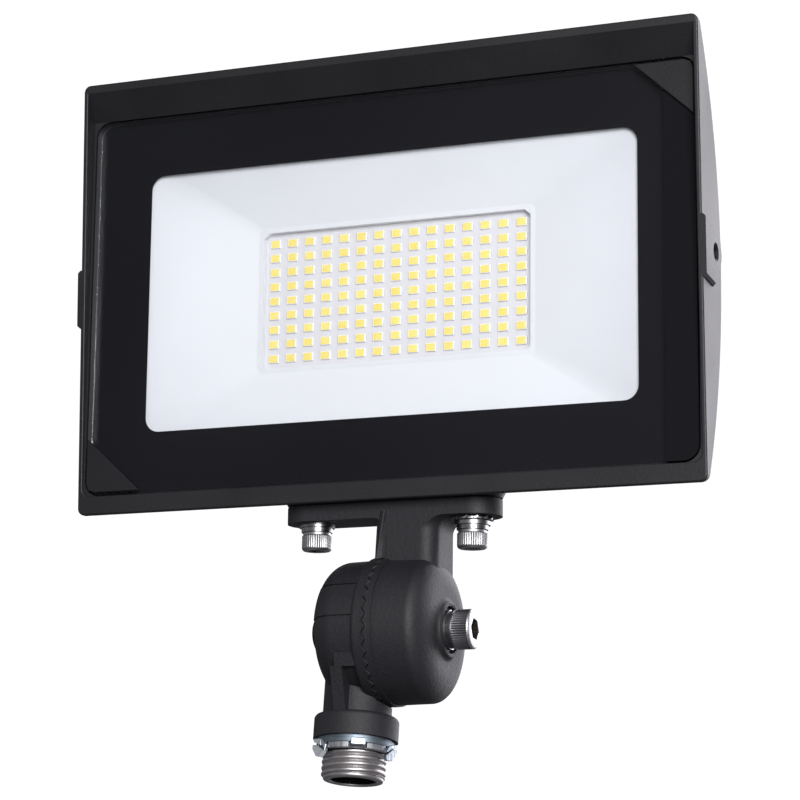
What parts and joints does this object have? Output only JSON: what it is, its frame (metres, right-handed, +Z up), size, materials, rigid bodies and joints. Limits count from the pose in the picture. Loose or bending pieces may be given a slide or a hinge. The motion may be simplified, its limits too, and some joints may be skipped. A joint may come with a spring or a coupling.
{
  "type": "led flood light",
  "caption": "Outdoor LED flood light: a rectangular glass-fronted lamp head on a serrated, bolt-clamped tilting knuckle that ends in a threaded conduit nipple with a locknut.",
  "frame": {"origin": "on the conduit thread's axis, in the plane of the knuckle collar's underside", "axes": "+Z up along the thread axis, away from the nipple's open end; +X along the tilt pivot, from the nut to the clamp bolt's head; -Y the way the light shines"},
  "size_m": [0.223, 0.069, 0.2367],
  "materials": {
    "powder_coat": "matte",
    "glass": "gloss",
    "rubber": "matte",
    "clip": "matte",
    "reflector": "satin",
    "board": "satin",
    "phosphor": "satin",
    "thermal": "matte",
    "stainless": "gloss",
    "zinc": "satin",
    "pipe_steel": "satin",
    "black_steel": "satin",
    "driver_case": "matte",
    "terminal": "matte"
  },
  "bodies": {
    "conduit_end": {"lower_knuckle": "powder_coat", "conduit_nipple": "pipe_steel", "clamp_nut": "black_steel", "knuckle_seal": "rubber"},
    "clamp_washers": {"clamp_flat_washer": "stainless", "clamp_spring_washer": "stainless"},
    "lamp_head": {"housing": "powder_coat", "rear_cover": "powder_coat", "upper_knuckle": "powder_coat", "glass_lens": "glass", "glass_gasket": "rubber", "flange_gasket": "rubber", "rear_cover_gasket": "rubber", "corner_clip_top_right": "clip", "corner_clip_bottom_left": "clip", "reflector": "reflector", "led_board": "board", "led_packages": "phosphor", "thermal_pad": "thermal", "board_screws": "stainless", "driver_screws": "stainless", "rear_cover_screws": "stainless", "flange_bolts": "stainless", "flange_flat_washers": "stainless", "flange_spring_washers": "stainless", "flange_tooth_washer": "stainless", "driver_module": "driver_case", "terminal_block": "terminal"},
    "clamp_screw": {"clamp_bolt": "stainless"},
    "nut_washer": {"locknut_washer": "zinc"},
    "nut": {"locknut": "zinc"}
  },
  "joints": [
    {"name": "clamp_release", "type": "slide", "parent": "conduit_end", "child": "clamp_washers", "axis": [1, 0, 0], "range_m": [0, 0.00187]},
    {"name": "head_tilt", "type": "hinge", "parent": "clamp_washers", "child": "lamp_head", "pos_m": [0.0106, 0, 0.0359], "axis": [1, 0, 0], "range_deg": [-94.74, 85.26]},
    {"name": "clamp_bolt_turn", "type": "hinge", "parent": "clamp_washers", "child": "clamp_screw", "pos_m": [0.0106, 0, 0.0359], "axis": [1, 0, 0], "range_deg": [0, 541]},
    {"name": "locknut_travel", "type": "slide", "parent": "conduit_end", "child": "nut_washer", "axis": [0, 0, -1], "range_m": [0, 0.0074]},
    {"name": "locknut_spin", "type": "hinge", "parent": "nut_washer", "child": "nut", "pos_m": [0, 0, 0], "axis": [0, 0, -1], "range_deg": [0, 1469]}
  ],
  "couplings": [
    {"joint": "clamp_bolt_turn", "follows": "clamp_release", "rad_per_m": 5026.5},
    {"joint": "locknut_spin", "follows": "locknut_travel", "rad_per_m": 3463.7}
  ]
}
